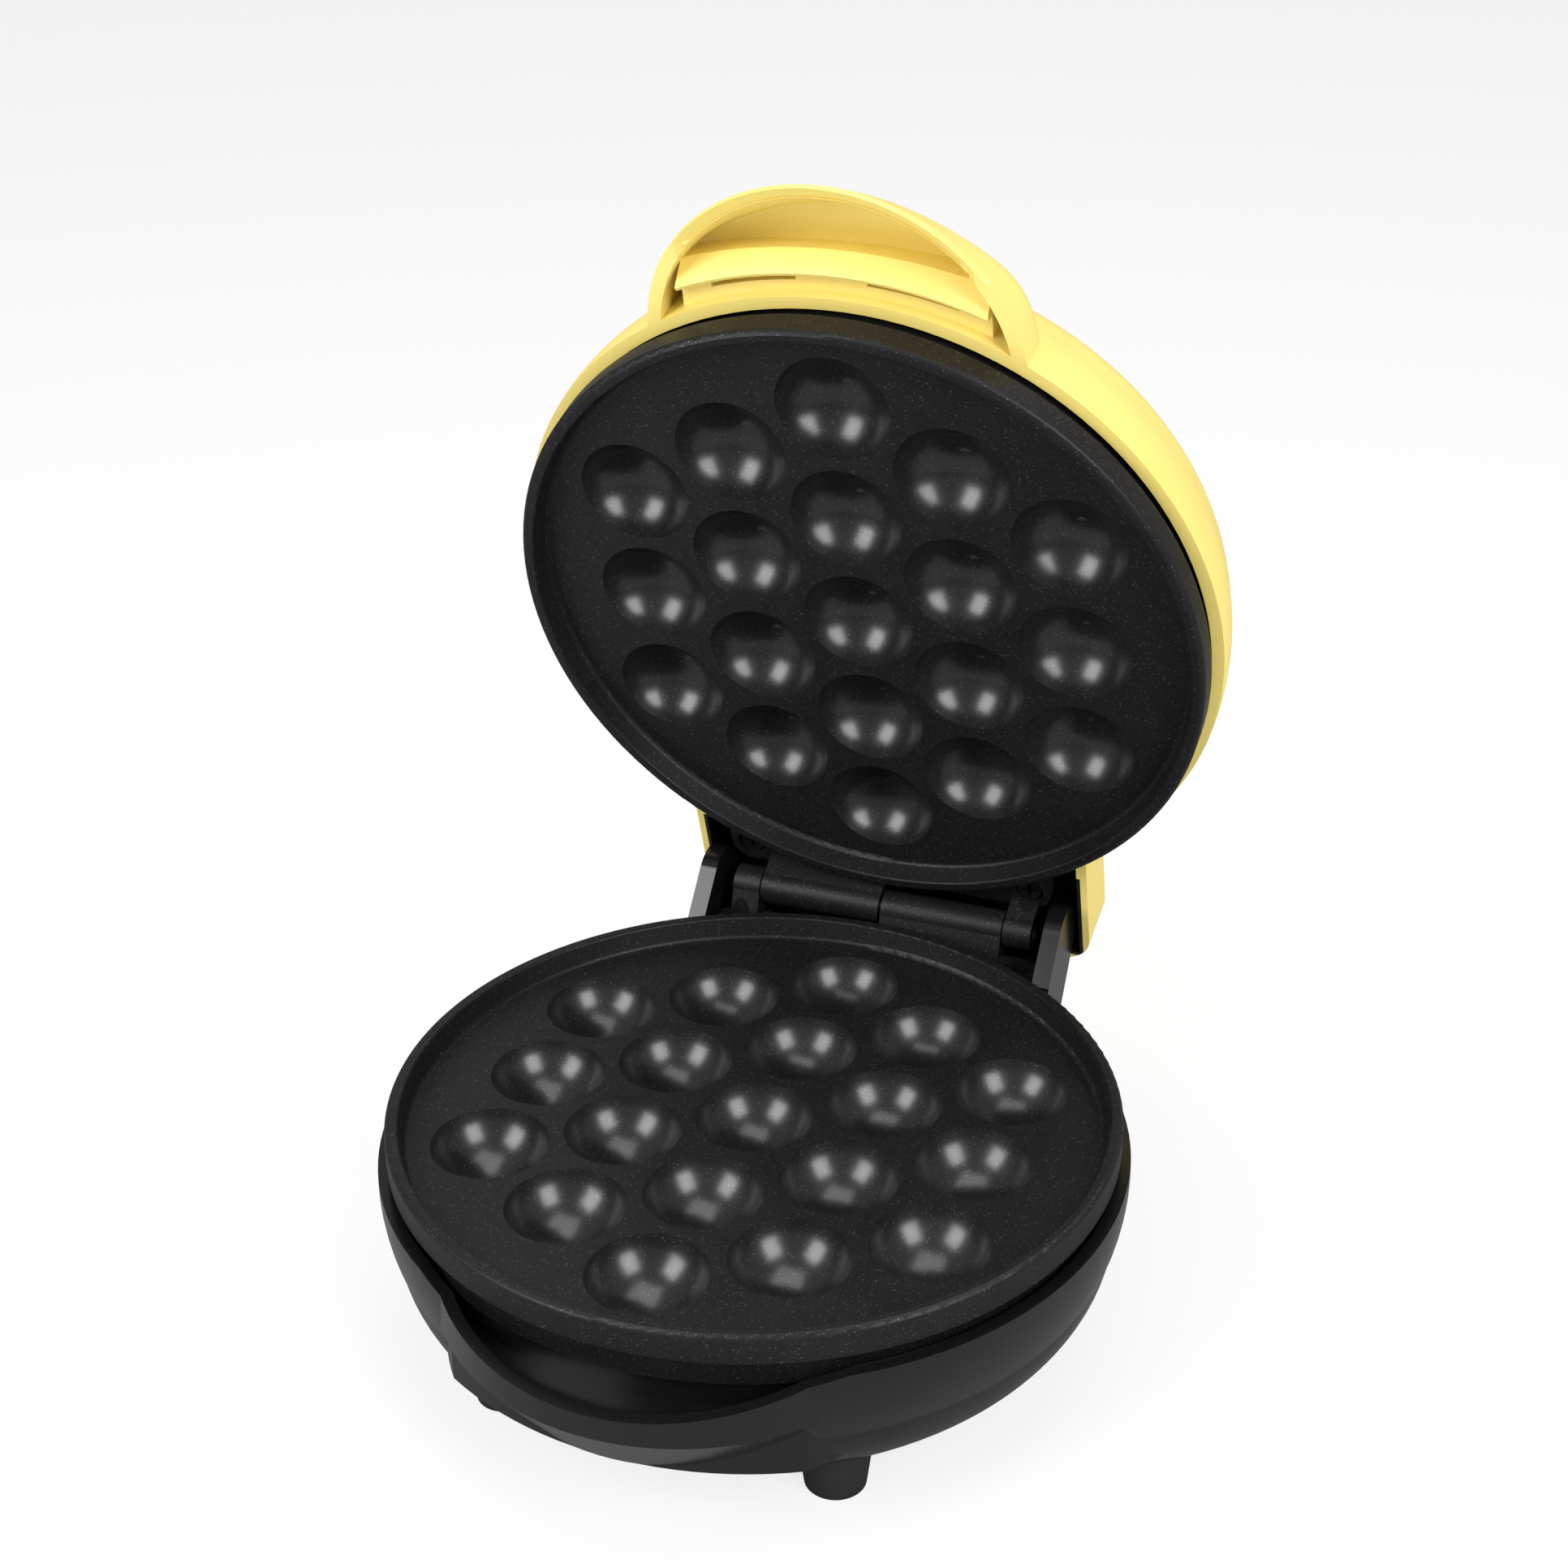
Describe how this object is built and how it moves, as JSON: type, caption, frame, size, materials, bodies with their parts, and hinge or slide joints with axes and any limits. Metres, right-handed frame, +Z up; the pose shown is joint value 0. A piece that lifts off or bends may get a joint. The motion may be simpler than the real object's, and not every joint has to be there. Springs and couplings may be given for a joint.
{
  "type": "mini bubble waffle maker",
  "caption": "Small round electric waffle maker with hinged non-stick plates full of half-round cavities, a domed lid with a grip, a glossy base bowl and feet.",
  "frame": {"origin": "on the table under the middle of the open object's box", "axes": "+X to the right seen from the front, +Y to the back where the hinge is, +Z up"},
  "size_m": [0.131, 0.1676, 0.1951],
  "materials": {
    "plate_coating": "satin non-stick coating with fine sparkle",
    "black_shell": "gloss",
    "yellow_shell": "satin",
    "black_rubber": "matte",
    "black_screw": "black oxide",
    "steel": "satin",
    "tube_steel": "satin",
    "shield_sheet": "bright sheet",
    "ceramic_switch": "matte",
    "glass_sleeve": "woven",
    "red_lens": "clear red",
    "lamp_glass": "clear",
    "soft_bush": "matte silicone"
  },
  "bodies": {
    "base": {"base_shell": "black_shell", "lower_plate": "plate_coating", "lower_heater": "tube_steel", "lower_heater_clamp": "steel", "lower_heat_shield": "shield_sheet", "lower_terminal_sleeves": "glass_sleeve", "thermostat": "ceramic_switch", "thermal_fuse": "glass_sleeve", "cord_gland": "black_rubber", "feet": "black_rubber", "base_hinge_screws": "black_screw", "base_plate_screws": "steel", "hinge_pin": "steel"},
    "lid": {"lid_shell": "yellow_shell", "upper_plate": "plate_coating", "upper_heater": "tube_steel", "upper_heater_clamp": "steel", "upper_heat_shield": "shield_sheet", "upper_terminal_sleeves": "glass_sleeve", "indicator_lens": "red_lens", "indicator_lamp": "lamp_glass", "lamp_sleeve": "soft_bush", "lid_hinge_screws": "black_screw", "lid_shield_screws": "steel"}
  },
  "joints": [
    {"name": "lid_hinge", "type": "hinge", "parent": "base", "child": "lid", "pos_m": [0, 0.0569, 0.042], "axis": [1, 0, 0], "range_deg": [-30, 73]}
  ]
}
